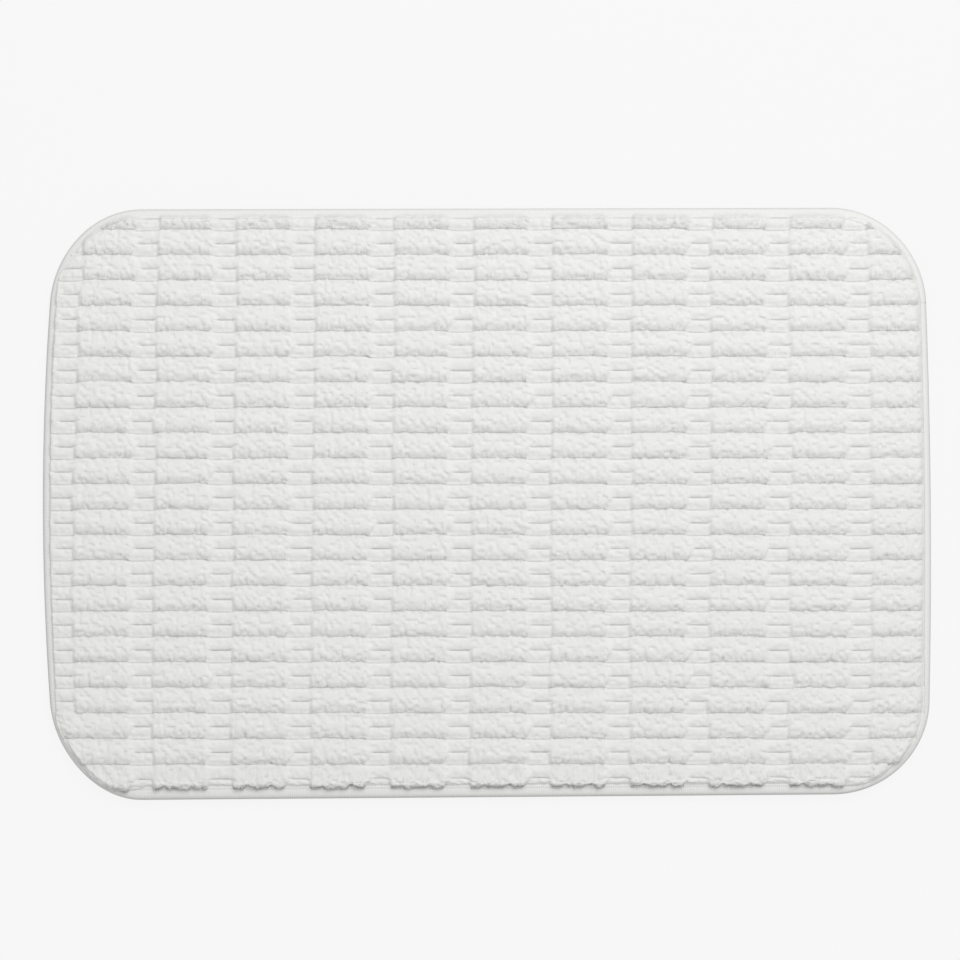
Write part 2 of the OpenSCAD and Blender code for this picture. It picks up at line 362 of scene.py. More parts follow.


# How high the fibres stand, and how deep among them each point lies, for the painted shade at the root
def rowHeights(number, x, y, v, pattern):
    last, seed = number == pile["rows"], pile["seed"]
    bar, lower = pattern["bar"], pattern["lower"]
    coarse = clumps(x, y * 0.75, pile["coarseClump"], seed + 1)
    fine = clumps(x, y * 0.85, pile["fineClump"], seed + 2)
    patch = softNoise(x, y, pile["patch"], seed + 3)
    pits = smoothStep((softNoise(x, y, pile["pit"], seed + 4) - 0.62) / 0.25)
    swell = softNoise(x, y, pile["swellLength"], seed + 5) - 0.5
    height = profile("barProfile", v) + pattern["lift"]
    height += ((coarse - 0.6) * (0.03 + 0.1 * lower * (0.3 + patch))
               + (fine - 0.6) * (0.07 + 0.3 * lower * patch))
    height -= pits * lower * 0.5 * (0.2 + patch) * (v > 0.03)
    height -= pattern["crease"] * (0.5 + 1.6 * lower)
    link = profile("linkProfile", v)
    link += 0.35 * (softNoise(x, y, 2.4, seed + 6) - 0.5) + 0.3 * (softNoise(x, y, 7, seed + 7) - 0.5)
    height = link * (1 - bar) + height * bar + pile["swell"] * swell - pattern["valley"] * pile["valleyDepth"]
    # painted shade at the root: the lower a point lies among the fibres, the darker its tone; less so on the
    # last row
    sunk = (0.6 if last else 1.0) * smoothStep((4.6 - height) / 3.4) * bar
    sunk += smoothStep((2.6 - height) / 1.6) * (1 - bar)

    # towards the tape the pile falls away, and most steeply at the front
    front = smoothStep((-y - mat["halfWidth"] + 90) / 70)
    band = pile["bareBand"] * (1 - front) + frontBand(x, last) * front
    depthIn = np.maximum(insideDepth(x, y) - band, 0)
    left = smoothStep((-x - pile["leftEnd"]) / pile["leftOver"])
    atOnce = np.maximum(pile["frontFall"] * front, pile["leftFall"] * left)
    reach = pile["edgeFall"] * (1 - front) + pile["frontReach"] * front
    fall = atOnce + (1 - atOnce) * smoothStep(depthIn / reach * 0.9 + 0.1)
    ragged = 1 + 0.5 * (softNoise(x, y, 3.5, seed + 8) - 0.5)
    if last:
        height *= 1 - pile["lastDroop"] * smoothStep((0.34 - v) / 0.34)
    return np.maximum(height * np.clip(fall * ragged, 0, 1.05), pile["lowest"]), sunk


# Moves a row's points to where the pile has settled
def settled(number, x, y, v, middleLine, pattern):
    last, seed = number == pile["rows"], pile["seed"]
    # a bar starts higher up the mat than the links beside it, and so does the back of the row below
    rear = smoothStep((v - 0.5) / 0.4)
    straight = smoothStep((mat["halfLength"] - pile["straightFrom"] - np.abs(x)) / pile["straightFrom"])
    lowerRaise = pile["lastRaise"] * straight if last else pile["barRaise"]
    y = y + pattern["raised"] * (1 - rear) * lowerRaise + pattern["raisedAbove"] * rear * pile["barRaise"]
    if last:
        squeeze = 1 - (1 - pile["lastSqueeze"]) * straight
        y = np.where(y < middleLine, middleLine + (y - middleLine) * squeeze, y)
    # the bars' lower side hangs over unevenly, in bunches, and the whole row wanders slightly
    overhang = pattern["bar"] * smoothStep((0.3 - v) / 0.2)
    bunches = clumps(x, x * 0, pile["bunch"], seed + 20 + number) * 0.9
    bunches += softNoise(x, x * 0, 6, seed + 60 + number)
    nipDepth = pile["nipLast"] if last else 0.2 + 0.5 * rowShare(number)
    y = y + overhang * (pattern["nip"] * nipDepth - (bunches - 0.9) * (1.5 if last else 0.8))
    wander, wanderAbove = (softNoise(x, x * 0 + row * 70, pile["wanderLength"], seed + 9) - 0.5
                           for row in (number, number - 1))
    y = y + pile["wander"] * (wander * (1 - rear) + wanderAbove * rear)
    return x + 0.35 * (softNoise(x, y, 3, seed + 10) - 0.5) * pattern["bar"], y


def pileRow(number, material):
    last = number == pile["rows"]
    pitch = (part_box("pile_row_01")[0].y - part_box("pile_row_23")[0].y) / mm / (pile["rows"] - 1)
    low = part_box(f"pile_row_{number:02d}")[0].y / mm - (pile["firstCreep"] + pile["creep"] * (number - 1))
    x, y = rowGrid(number, low, low + pitch + pile["tuckUnder"])
    v = (y - low) / pitch
    pattern = rowPattern(number, x, v)
    height, sunk = rowHeights(number, x, y, v, pattern)
    x, y = settled(number, x, y, v, low + pitch / 2, pattern)

    # the base follows the row's first and last lines of points
    standing = np.where(insideDepth(x, y) < pile["overLap"], pile["lapTop"], 0.0) + mat["groundTop"]
    count, lanes = x.shape
    top = np.stack([x, y, standing + height], -1)
    base = np.stack([x, y, standing], -1)[:, [-1, 0]]
    points = np.concatenate([top, base], 1).reshape(-1, 3)
    ring = lanes + 2
    ends = [tuple(range(ring)), tuple((count - 1) * ring + j for j in reversed(range(ring)))]
    made = makeObject(f"pileRow{number:02d}", points, tubeFaces(count, ring) + ends, material)

    # the painted root shade of each point, full on the base
    depth = np.concatenate([sunk, np.ones((count, 2))], 1)
    fluffy = pile["lastTufts"] if last else 1.0
    tufts = fluffy * pattern["bar"] * (0.1 + 0.7 * pattern["lower"]) * smoothStep((height - 2) / 2)
    tufts = np.concatenate([tufts, np.zeros((count, 2))], 1)
    for name, values in (("pileDepth", depth), ("tuftShare", tufts)):
        attribute = made.data.attributes.new(name, "FLOAT", "POINT")
        attribute.data.foreach_set("value", values.ravel().astype(np.float32))
    return made


# Reads a mesh's points as an array in millimetres
def pointsOf(mesh):
    flat = np.zeros(len(mesh.vertices) * 3)
    mesh.vertices.foreach_get("co", flat)
    return flat.reshape(-1, 3) / mm


def setPoints(mesh, points):
    mesh.vertices.foreach_set("co", (points * mm).ravel())
    mesh.update()


# Puts a piece on the mat's only body and hides the solid it stands for
def declare(piece, node):
    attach(piece, "root")
    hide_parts(node)


# Turns a node tree's result on an object into its plain mesh, and takes the tree off
def applyTree(target, tree, values):
    modifier = target.modifiers.new(tree.name, "NODES")
    modifier.node_group = tree
    identifiers = {item.name: item.identifier for item in tree.interface.items_tree if item.in_out == "INPUT"}
    for name, value in values.items():
        modifier[identifiers[name]] = value
    bpy.context.view_layer.update()
    shaped = target.evaluated_get(bpy.context.evaluated_depsgraph_get())
    mesh = bpy.data.meshes.new_from_object(shaped)
    target.modifiers.remove(modifier)
    old = target.data
    target.data = mesh
    mesh.name = target.name
    if isinstance(old, bpy.types.Mesh):
        bpy.data.meshes.remove(old)
    return target


def newTree(name, inputs):
    tree = bpy.data.node_groups.new(name, "GeometryNodeTree")
    for label, kind in {"Geometry": "Geometry", **inputs, "Finish": "Material"}.items():
        tree.interface.new_socket(label, in_out="INPUT", socket_type="NodeSocket" + kind)
    tree.interface.new_socket("Geometry", in_out="OUTPUT", socket_type="NodeSocketGeometry")
    return tree, addNode(tree, "NodeGroupInput")


# Ends a tree: its result gets its finish
def endTree(tree, given, result):
    ended = addNode(tree, "GeometryNodeSetMaterial",
                    links={"Geometry": result, "Material": given.outputs["Finish"]})
    addNode(tree, "NodeGroupOutput", links={0: ended.outputs[0]})
    return tree


# Makes instances into real geometry, with smooth faces
def realSmooth(tree, instances):
    real = addNode(tree, "GeometryNodeRealizeInstances", links={"Geometry": instances.outputs[0]})
    return addNode(tree, "GeometryNodeSetShadeSmooth", links={"Geometry": real.outputs[0]}).outputs[0]


# Sets leaning tufts of fibre on a row, where its tuftShare says
def tuftTree():
    tree, given = newTree("pileTufts", {"Density": "Float", "Width": "Float", "Length": "Float",
                                        "Seed": "Int"})
    share = addNode(tree, "GeometryNodeInputNamedAttribute", {"data_type": "FLOAT"}, {"Name": "tuftShare"})
    density = addNode(tree, "ShaderNodeMath", {"operation": "MULTIPLY"},
                      links={0: share.outputs["Attribute"], 1: given.outputs["Density"]})
    spots = addNode(tree, "GeometryNodeDistributePointsOnFaces", {"distribute_method": "RANDOM"},
                    links={"Mesh": given.outputs["Geometry"], "Density": density.outputs[0],
                           "Seed": given.outputs["Seed"]})
    tuft = addNode(tree, "GeometryNodeMeshCone", {"fill_type": "NGON"}, {"Vertices": 3, "Radius Top": 0.0},
                   {"Radius Bottom": given.outputs["Width"], "Depth": given.outputs["Length"]})
    # fibres stand off the surface, fall towards the front edge and splay at random
    splay = addNode(tree, "FunctionNodeRandomValue", {"data_type": "FLOAT_VECTOR"},
                    {0: (-0.75, -1.05, 0.1), 1: (0.75, 0.45, 1.0)}, {"Seed": given.outputs["Seed"]})
    lean = addNode(tree, "ShaderNodeVectorMath", {"operation": "ADD"},
                   links={0: spots.outputs["Normal"], 1: splay.outputs[0]})
    turn = addNode(tree, "FunctionNodeAlignRotationToVector", {"axis": "Z"}, links={"Vector": lean.outputs[0]})
    spin = addNode(tree, "FunctionNodeRandomValue", {"data_type": "FLOAT_VECTOR"},
                   {0: (0.0, 0.0, 0.0), 1: (0.0, 0.0, 2 * math.pi)}, {"Seed": given.outputs["Seed"]})
    spun = addNode(tree, "FunctionNodeRotateRotation", {"rotation_space": "LOCAL"},
                   links={"Rotation": turn.outputs[0], "Rotate By": spin.outputs[0]})
    size = addNode(tree, "FunctionNodeRandomValue", {"data_type": "FLOAT"}, {2: 0.55, 3: 1.3},
                   {"Seed": given.outputs["Seed"]})
    sunk = addNode(tree, "ShaderNodeVectorMath", {"operation": "SCALE"}, {"Scale": -0.0004},
                   {0: spots.outputs["Normal"]})
    seated = addNode(tree, "GeometryNodeSetPosition",
                     links={"Geometry": spots.outputs["Points"], "Offset": sunk.outputs[0]})
    tufts = addNode(tree, "GeometryNodeInstanceOnPoints",
                    links={"Points": seated.outputs[0], "Instance": tuft.outputs["Mesh"],
                           "Rotation": spun.outputs[0], "Scale": size.outputs[1]})
    both = addNode(tree, "GeometryNodeJoinGeometry", links={0: given.outputs["Geometry"]})
    tree.links.new(realSmooth(tree, tufts), both.inputs[0])
    return endTree(tree, given, both.outputs[0])


pileFinish = cutPile()
pileTufts = tuftTree()
pileRows = []
for number in range(1, pile["rows"] + 1):
    row = pileRow(number, pileFinish)
    applyTree(row, pileTufts, {
        "Density": pile["tuftsPerSquare"] / mm ** 2, "Width": pile["tuftWidth"] * mm,
        "Length": pile["tuftLength"] * mm * (pile["lastTuftLength"] if number == pile["rows"] else 1.0),
        "Seed": pile["seed"] + number, "Finish": pileFinish})
    declare(row, f"pile_row_{number:02d}")
    pileRows.append(row)
print("pile rows:", len(pileRows), "with", sum(len(r.data.polygons) for r in pileRows), "faces")


# The tape's section, seen along the edge: X points out of the mat, Y up, from the middle of the rolled edge
tape = {
    "thickness": 1.2, "faceLap": 3.0, "underLap": 5.0, "seam": 1.5, "threadWidth": 0.5,
    "squareness": 2.6,               # 2 is a half round edge; more is flatter on top
    "flatWidth": 33.5, "ribPitch": 1.88,
    "ribDepth": 0.007,               # as a share of the edge's radius
    "bevel": 0.3,                    # how softly the laps' ends are turned
    # the shade tone is painted shade, in the hollows between the cords
    "lightTone": "#F3F3F2", "shadeTone": "#EDEDEB",
}


# Polyester ribbed tape: tight, flat and slightly lustrous, with a cord every 2 mm across its length
def ribbedTape():
    material, tree = newMaterial("ribbedPolyesterTape")
    along = addNode(tree, "ShaderNodeAttribute", {"attribute_name": "tapeAlong"})
    turns = addNode(tree, "ShaderNodeMath", {"operation": "MULTIPLY"},
                    {1: 2 * math.pi / (tape["ribPitch"] * mm)}, {0: along.outputs["Fac"]})
    rib = addNode(tree, "ShaderNodeMath", {"operation": "COSINE"}, links={0: turns.outputs[0]})
    share = addNode(tree, "ShaderNodeMapRange", values={"From Min": -1.0, "From Max": 1.0},
                    links={"Value": rib.outputs[0]})
    # painted shade: the tone darkens between the cords, where the tape's relief is low
    tone = addNode(tree, "ShaderNodeMix", {"data_type": "RGBA"},
                   {6: toLinear(tape["shadeTone"]), 7: toLinear(tape["lightTone"])},
                   {0: share.outputs["Result"]})
    place = addNode(tree, "ShaderNodeTexCoord")
    # the fine warp between the cords, drawn at 0.8 mm so that it shows
    warp = addNode(tree, "ShaderNodeTexNoise", values={"Scale": 1250.0, "Detail": 2.0},
                   links={"Vector": place.outputs["Object"]})
    raised = addNode(tree, "ShaderNodeMath", {"operation": "MULTIPLY_ADD"}, {1: 0.35},
                     {0: warp.outputs["Fac"], 2: share.outputs["Result"]})
    return endSurface(material, tone.outputs[2], raised.outputs[0], {"Strength": 0.6, "Distance": 0.0003},
                      {"Roughness": 0.72, "Specular IOR Level": 0.3, "Sheen Weight": 0.05,
                       "Sheen Roughness": 0.4})


def tapeSection():
    outer = mat["edgeHeight"] / 2
    inner = outer - tape["thickness"]
    groove = tape["threadWidth"]
    seam = -tape["seam"]
    turn = [math.radians(90 - 15 * i) for i in range(13)]
    square = 2 / tape["squareness"]
    bevel = tape["bevel"]
    points = [(-tape["faceLap"], outer - bevel), (-tape["faceLap"] + bevel, outer),
              (seam - groove, outer), (seam, outer - groove), (seam + groove, outer)]
    points += [(outer * math.cos(a) ** square, math.copysign(outer * abs(math.sin(a)) ** square, math.sin(a)))
               for a in turn]
    points += [(seam + groove, -outer), (seam, -outer + groove), (seam - groove, -outer),
               (-tape["underLap"] + bevel, -outer), (-tape["underLap"], -outer + bevel),
               (-tape["underLap"], -inner)]
    points += [(inner * math.cos(a) ** square, math.copysign(inner * abs(math.sin(a)) ** square, math.sin(a)))
               for a in reversed(turn[::3])]
    points.append((-tape["faceLap"], inner))
    curve = bpy.data.curves.new("tapeSection", "CURVE")
    spline = curve.splines.new("POLY")
    spline.points.add(len(points) - 1)
    for point, (px, py) in zip(spline.points, points):
        point.co = (px * mm, py * mm, 0, 1)
    spline.use_cyclic_u = True
    return addObject("tapeSection", curve)


# A path round the mat at an inset, as a rounded rectangle
def edgePath(tree, given):
    size = addNode(tree, "GeometryNodeCurvePrimitiveQuadrilateral",
                   links={"Width": given.outputs["Length"], "Height": given.outputs["Width"]})
    rounded = addNode(tree, "GeometryNodeFilletCurve", {"mode": "POLY"}, {"Count": 40},
                      {"Curve": size.outputs[0], "Radius": given.outputs["Corner"]})
    height = addNode(tree, "ShaderNodeCombineXYZ", links={"Z": given.outputs["Height"]})
    return addNode(tree, "GeometryNodeSetPosition",
                   links={"Geometry": rounded.outputs[0], "Offset": height.outputs[0]})


pathInputs = {"Length": "Float", "Width": "Float", "Corner": "Float", "Height": "Float", "Count": "Int"}


def pathValues(inset, height, count, finish):
    return {"Length": 2 * (mat["halfLength"] - inset) * mm, "Width": 2 * (mat["halfWidth"] - inset) * mm,
            "Corner": (mat["cornerRadius"] - inset) * mm, "Height": height * mm,
            "Count": count, "Finish": finish}


# Sweeps the tape's section round the edge and draws it in between the ribs
def tapeTree():
    tree, given = newTree("boundEdge", {**pathInputs, "Rib Depth": "Float", "Section": "Object"})
    path = edgePath(tree, given)
    even = addNode(tree, "GeometryNodeResampleCurve",
                   links={"Curve": path.outputs[0], "Count": given.outputs["Count"]})
    upright = addNode(tree, "GeometryNodeSetCurveNormal", {"mode": "Z_UP"}, links={"Curve": even.outputs[0]})
    index = addNode(tree, "GeometryNodeInputIndex")
    odd = addNode(tree, "ShaderNodeMath", {"operation": "MODULO"}, {1: 2.0}, {0: index.outputs[0]})
    drawn = addNode(tree, "ShaderNodeMath", {"operation": "MULTIPLY"},
                    links={0: odd.outputs[0], 1: given.outputs["Rib Depth"]})
    radius = addNode(tree, "ShaderNodeMath", {"operation": "SUBTRACT"}, {0: 1.0}, {1: drawn.outputs[0]})
    walked = addNode(tree, "GeometryNodeSplineParameter")
    marked = addNode(tree, "GeometryNodeStoreNamedAttribute", {"data_type": "FLOAT", "domain": "POINT"},
                     {"Name": "tapeAlong"},
                     {"Geometry": upright.outputs[0], "Value": walked.outputs["Length"]})
    section = addNode(tree, "GeometryNodeObjectInfo", links={"Object": given.outputs["Section"]})
    swept = addNode(tree, "GeometryNodeCurveToMesh",
                    links={"Curve": marked.outputs[0], "Profile Curve": section.outputs["Geometry"],
                           "Scale": radius.outputs[0]})
    soft = addNode(tree, "GeometryNodeSetShadeSmooth", links={"Geometry": swept.outputs[0]})
    return endTree(tree, given, soft.outputs[0])


# Finishes a piece made by a tree: its mesh is applied, bowed with the mat and declared
def finishPiece(name, tree, values, node):
    made = addObject(name, bpy.data.meshes.new(name))
    applyTree(made, tree, values)
    setPoints(made.data, bowed(pointsOf(made.data)))
    declare(made, node)
    return made


section = tapeSection()
edgeRadius = mat["edgeHeight"] / 2
straights = 4 * (mat["halfLength"] + mat["halfWidth"] - 2 * mat["cornerRadius"])
edgeLength = straights + 2 * math.pi * (mat["cornerRadius"] - edgeRadius)
tapeFinish = ribbedTape()
edgeTape = finishPiece(
    "edgeBinding", tapeTree(),
    {**pathValues(edgeRadius, edgeRadius, 2 * round(edgeLength / tape["ribPitch"]), tapeFinish),
     "Rib Depth": tape["ribDepth"], "Section": section}, "edge_binding")
bpy.data.objects.remove(section)
print("edge binding:", len(edgeTape.data.polygons), "faces")


# Spun polyester thread: two plies twisted, smooth enough to catch a little light
def sewingThread():
    material, tree = newMaterial("spunPolyesterThread")
    place = addNode(tree, "ShaderNodeTexCoord")
    # the plies turn about once a millimetre; the grooves between them are painted darker, as painted shade
    plies = addNode(tree, "ShaderNodeTexWave", {"bands_direction": "DIAGONAL"},
                    {"Scale": 320.0, "Distortion": 0.6}, {"Vector": place.outputs["Object"]})
    tone = addNode(tree, "ShaderNodeMix", {"data_type": "RGBA"},
                   {6: toLinear(thread["shadeTone"]), 7: toLinear(thread["lightTone"])},
                   {0: plies.outputs["Fac"]})
    return endSurface(material, tone.outputs[2], plies.outputs["Fac"], {"Strength": 0.6, "Distance": 0.0001},
                      {"Roughness": 0.5, "Specular IOR Level": 0.4, "Sheen Weight": 0.1})


# The seam's stitches. Each shows as a short arch of thread with its two ends pulled down into the tape.
thread = {
    "count": 460, "length": 4.6, "width": 0.5, "dip": 0.35,
    # the shade tone is painted shade, in the grooves between the plies
    "lightTone": "#F2F2F0", "shadeTone": "#D9D9D6",
}


def stitchTree():
    tree, given = newTree("seamStitches", {**pathInputs, "Stitch Length": "Float", "Thread": "Float",
                                           "Dip": "Float"})
    path = edgePath(tree, given)
    even = addNode(tree, "GeometryNodeResampleCurve",
                   links={"Curve": path.outputs[0], "Count": given.outputs["Count"]})
    heading = addNode(tree, "GeometryNodeInputTangent")
    turn = addNode(tree, "FunctionNodeAlignRotationToVector", {"axis": "X"},
                   links={"Vector": heading.outputs[0]})
    line = addNode(tree, "GeometryNodeCurvePrimitiveLine", {"mode": "DIRECTION"},
                   {"Direction": (1.0, 0.0, 0.0)}, {"Length": given.outputs["Stitch Length"]})
    jointed = addNode(tree, "GeometryNodeResampleCurve", values={"Count": 7}, links={"Curve": line.outputs[0]})
    walked = addNode(tree, "GeometryNodeSplineParameter")
    # the arch: the share along runs from -1 to 1, and its fourth power takes only the ends down
    share = addNode(tree, "ShaderNodeMapRange", values={"To Min": -1.0, "To Max": 1.0},
                    links={"Value": walked.outputs["Factor"]})
    squared = addNode(tree, "ShaderNodeMath", {"operation": "MULTIPLY"},
                      links={0: share.outputs[0], 1: share.outputs[0]})
    fourth = addNode(tree, "ShaderNodeMath", {"operation": "MULTIPLY"},
                     links={0: squared.outputs[0], 1: squared.outputs[0]})
    down = addNode(tree, "ShaderNodeMath", {"operation": "MULTIPLY"},
                   links={0: fourth.outputs[0], 1: given.outputs["Dip"]})
    back = addNode(tree, "ShaderNodeMath", {"operation": "MULTIPLY"}, {1: -0.5},
                   {0: given.outputs["Stitch Length"]})
    shift = addNode(tree, "ShaderNodeCombineXYZ", links={"X": back.outputs[0], "Z": down.outputs[0]})
    arched = addNode(tree, "GeometryNodeSetPosition",
                     links={"Geometry": jointed.outputs[0], "Offset": shift.outputs[0]})
    half = addNode(tree, "ShaderNodeMath", {"operation": "MULTIPLY"}, {1: 0.5}, {0: given.outputs["Thread"]})
    ring = addNode(tree, "GeometryNodeCurvePrimitiveCircle", {"mode": "RADIUS"}, {"Resolution": 5},
                   {"Radius": half.outputs[0]})
    body = addNode(tree, "GeometryNodeCurveToMesh", values={"Fill Caps": True},
                   links={"Curve": arched.outputs[0], "Profile Curve": ring.outputs[0]})
    placed = addNode(tree, "GeometryNodeInstanceOnPoints",
                   links={"Points": even.outputs[0], "Instance": body.outputs[0], "Rotation": turn.outputs[0]})
    return endTree(tree, given, realSmooth(tree, placed))


threadFinish = sewingThread()
stitches = stitchTree()
seamInset = edgeRadius + tape["seam"]
for name, node, height, dip in (
        ("bindingFaceThread", "binding_face_thread", mat["edgeHeight"] - thread["width"] / 2, -thread["dip"]),
        ("bindingUnderThread", "binding_under_thread", thread["width"] / 2, thread["dip"])):
    finishPiece(name, stitches, {
        **pathValues(seamInset, height, thread["count"], threadFinish), "Stitch Length": thread["length"] * mm,
        "Thread": thread["width"] * mm, "Dip": dip * mm}, node)
print("seam threads: 2")


# A closed plate of cloth or foam with the mat's rounded outline. Its points run in columns across the mat.
def plate(name, inset, low, high, step, material):
    end = mat["halfLength"] - inset
    x = np.linspace(-end, end, round(2 * end / step))
    lanes = round(2 * mat["halfWidth"] / step)
    y = reachAcross(x, inset)[:, None] * np.linspace(-1, 1, lanes)[None, :]
    x = np.repeat(x[:, None], lanes, 1)
    return closedSlab(name, x, y, np.full_like(x, low), np.full_like(x, high), material, smooth=False)


foam = {
    "slackHigh": 12.7,               # the slab's top before it swells
    "inset": 0.2, "step": 12.0,      # its clear space all round, and the spacing of its points
    "voxel": 7.0, "pressure": 4.0, "frames": 20,
    "swell": 1.2, "spread": 0.5,     # the most that a point may rise or move sideways
    # the pore tone is painted shade, in the pores' hollows
    "poreSize": 2.2, "lightTone": "#F6F1E4", "poreShadeTone": "#DCD3BD",
}


# Memory foam: open cells a millimetre or two across in a soft cream skin, dull and faintly translucent
def memoryFoam():
    material, tree = newMaterial("openCellMemoryFoam")
    place = addNode(tree, "ShaderNodeTexCoord")
    cells = addNode(tree, "ShaderNodeTexVoronoi", {"feature": "DISTANCE_TO_EDGE"},
                    {"Scale": 1000 / foam["poreSize"]}, {"Vector": place.outputs["Object"]})
    walls = addNode(tree, "ShaderNodeMapRange", values={"From Max": 0.18},
                    links={"Value": cells.outputs["Distance"]})
    # painted shade: the pores' hollows are darker than the cell walls
    tone = addNode(tree, "ShaderNodeMix", {"data_type": "RGBA"},
                   {6: toLinear(foam["lightTone"]), 7: toLinear(foam["poreShadeTone"])},
                   {0: walls.outputs["Result"]})
    bump = addNode(tree, "ShaderNodeBump", {"invert": True}, {"Strength": 0.5, "Distance": 0.0004},
                   {"Height": walls.outputs["Result"]})
    shader = addNode(tree, "ShaderNodeBsdfPrincipled", values={"Roughness": 0.9, "Specular IOR Level": 0.2},
                     links={"Base Color": tone.outputs[2], "Normal": bump.outputs["Normal"]})
    addNode(tree, "ShaderNodeOutputMaterial", links={"Surface": shader.outputs["BSDF"]})
    return material


# The slab is cut a little thin and swells by simulation until it fills the space under the ground cloth
def swellFoam(slab):
    base = pointsOf(slab.data)
    remesh = slab.modifiers.new("remesh", "REMESH")
    remesh.mode = "VOXEL"
    remesh.voxel_size = foam["voxel"] * mm
    bpy.context.view_layer.update()
    mesh = bpy.data.meshes.new_from_object(slab.evaluated_get(bpy.context.evaluated_depsgraph_get()))
    slab.modifiers.clear()
    cut = slab.data
    slab.data = mesh
    bpy.data.meshes.remove(cut)
    mesh.name = slab.name
    rest = pointsOf(mesh)
    floorAt, top = base[:, 2].min(), base[:, 2].max()
    rest[:, 2] = np.clip(rest[:, 2], floorAt, top)
    setPoints(mesh, rest)
    cloth = slab.modifiers.new("swell", "CLOTH")
    cloth.settings.use_pressure = True
    cloth.settings.uniform_pressure_force = foam["pressure"]
    cloth.settings.effector_weights.gravity = 0
    cloth.point_cache.frame_end = foam["frames"]
    for step in range(1, foam["frames"] + 1):
        bpy.context.scene.frame_set(step)
    result = bpy.data.meshes.new_from_object(slab.evaluated_get(bpy.context.evaluated_depsgraph_get()))
    swollen = pointsOf(result)
    bpy.data.meshes.remove(result)
    slab.modifiers.clear()
    bpy.context.scene.frame_set(1)
    moved = swollen - rest
    moved[:, 2] = np.clip(moved[:, 2], 0, foam["swell"]) * (rest[:, 2] > (floorAt + top) / 2)
    moved[:, :2] = np.clip(moved[:, :2], -foam["spread"], foam["spread"])
    setPoints(mesh, rest + moved)
    mesh.shade_smooth()
    smooth = slab.modifiers.new("smooth", "SUBSURF")
    smooth.levels = smooth.render_levels = 1
    print("foam swells by", round(float(moved[:, 2].mean()), 2), "mm on average")


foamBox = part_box("foam_core")
foamCore = plate("foamCore", mat["halfLength"] - foamBox[1].x / mm + foam["spread"] + foam["inset"],
                 foamBox[0].z / mm, foam["slackHigh"], foam["step"], memoryFoam())
swellFoam(foamCore)
declare(foamCore, "foam_core")


cloth = {
    # the shade tones are painted shade, between the yarns
    "groundTone": "#DADAD7", "groundShade": "#BDBDB9", "backingTone": "#E9E8E4", "backingShade": "#D2D1CC",
    "loopPitch": 1.6, "coursePitch": 2.2,      # of the ground cloth's knitted loops, along and across
    "yarnPitch": 1.1,                # of the backing cloth's yarns
    "step": 9.0,                     # spacing of a cloth's points
}


# Cloth of crossing yarns. Knitted loops and a plain weave both show as ridges broken by ridges across them.
def yarnCloth(name, light, shade, along, across):
    material, tree = newMaterial(name)
    place = addNode(tree, "ShaderNodeTexCoord")
    axes = addNode(tree, "ShaderNodeSeparateXYZ", links={0: place.outputs["Object"]})
    waves = []
    for axis, pitch in (("X", along), ("Y", across)):
        turns = addNode(tree, "ShaderNodeMath", {"operation": "MULTIPLY"}, {1: 2 * math.pi / (pitch * mm)},
                        {0: axes.outputs[axis]})
        waves.append(addNode(tree, "ShaderNodeMath", {"operation": "COSINE"}, links={0: turns.outputs[0]}))
    crossed = addNode(tree, "ShaderNodeMath", {"operation": "MULTIPLY"},
                      links={0: waves[0].outputs[0], 1: waves[1].outputs[0]})
    yarn = addNode(tree, "ShaderNodeMapRange", values={"From Min": -1.0, "From Max": 1.0},
                   links={"Value": crossed.outputs[0]})
    uneven = addNode(tree, "ShaderNodeTexNoise", values={"Scale": 160.0, "Detail": 3.0},
                     links={"Vector": place.outputs["Object"]})
    height = addNode(tree, "ShaderNodeMath", {"operation": "MULTIPLY_ADD"}, {1: 0.5},
                     {0: uneven.outputs["Fac"], 2: yarn.outputs["Result"]})
    # painted shade: the tone darkens between the yarns, where the relief is low
    tone = addNode(tree, "ShaderNodeMix", {"data_type": "RGBA"}, {6: toLinear(shade), 7: toLinear(light)},
                   {0: yarn.outputs["Result"]})
    return endSurface(material, tone.outputs[2], height.outputs[0], {"Strength": 0.8, "Distance": 0.0003},
                      {"Roughness": 0.88, "Specular IOR Level": 0.2, "Sheen Weight": 0.1})


# Warp-knitted polyester, which carries the pile, and a plain-woven polyester backing. Both are dull and even.
groundFinish = yarnCloth("knittedPolyester", cloth["groundTone"], cloth["groundShade"],
                         cloth["loopPitch"], cloth["coursePitch"])
backingFinish = yarnCloth("wovenPolyester", cloth["backingTone"], cloth["backingShade"],
                          cloth["yarnPitch"], cloth["yarnPitch"])
groundBox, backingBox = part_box("ground_cloth"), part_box("backing_cloth")
groundCloth = plate("groundCloth", mat["halfLength"] - groundBox[1].x / mm, groundBox[0].z / mm,
                    groundBox[1].z / mm, cloth["step"], groundFinish)
backingCloth = plate("backingCloth", mat["halfLength"] - backingBox[1].x / mm, backingBox[0].z / mm,
                     backingBox[1].z / mm, cloth["step"], backingFinish)
for piece, node, box, rests in ((groundCloth, "ground_cloth", groundBox, [foamCore]),
                                (backingCloth, "backing_cloth", backingBox, ["grip_dots"])):
    declare(piece, node)


grip = {
    "pitch": 30.0, "diameter": 9.0, "height": 1.2, "margin": 20.6, "tone": "#D3D2CC", "shadeTone": "#C2C1BA",
    "labelClear": (34.0, 237.9),     # dots stay out of this half width and above this line, at the label
}


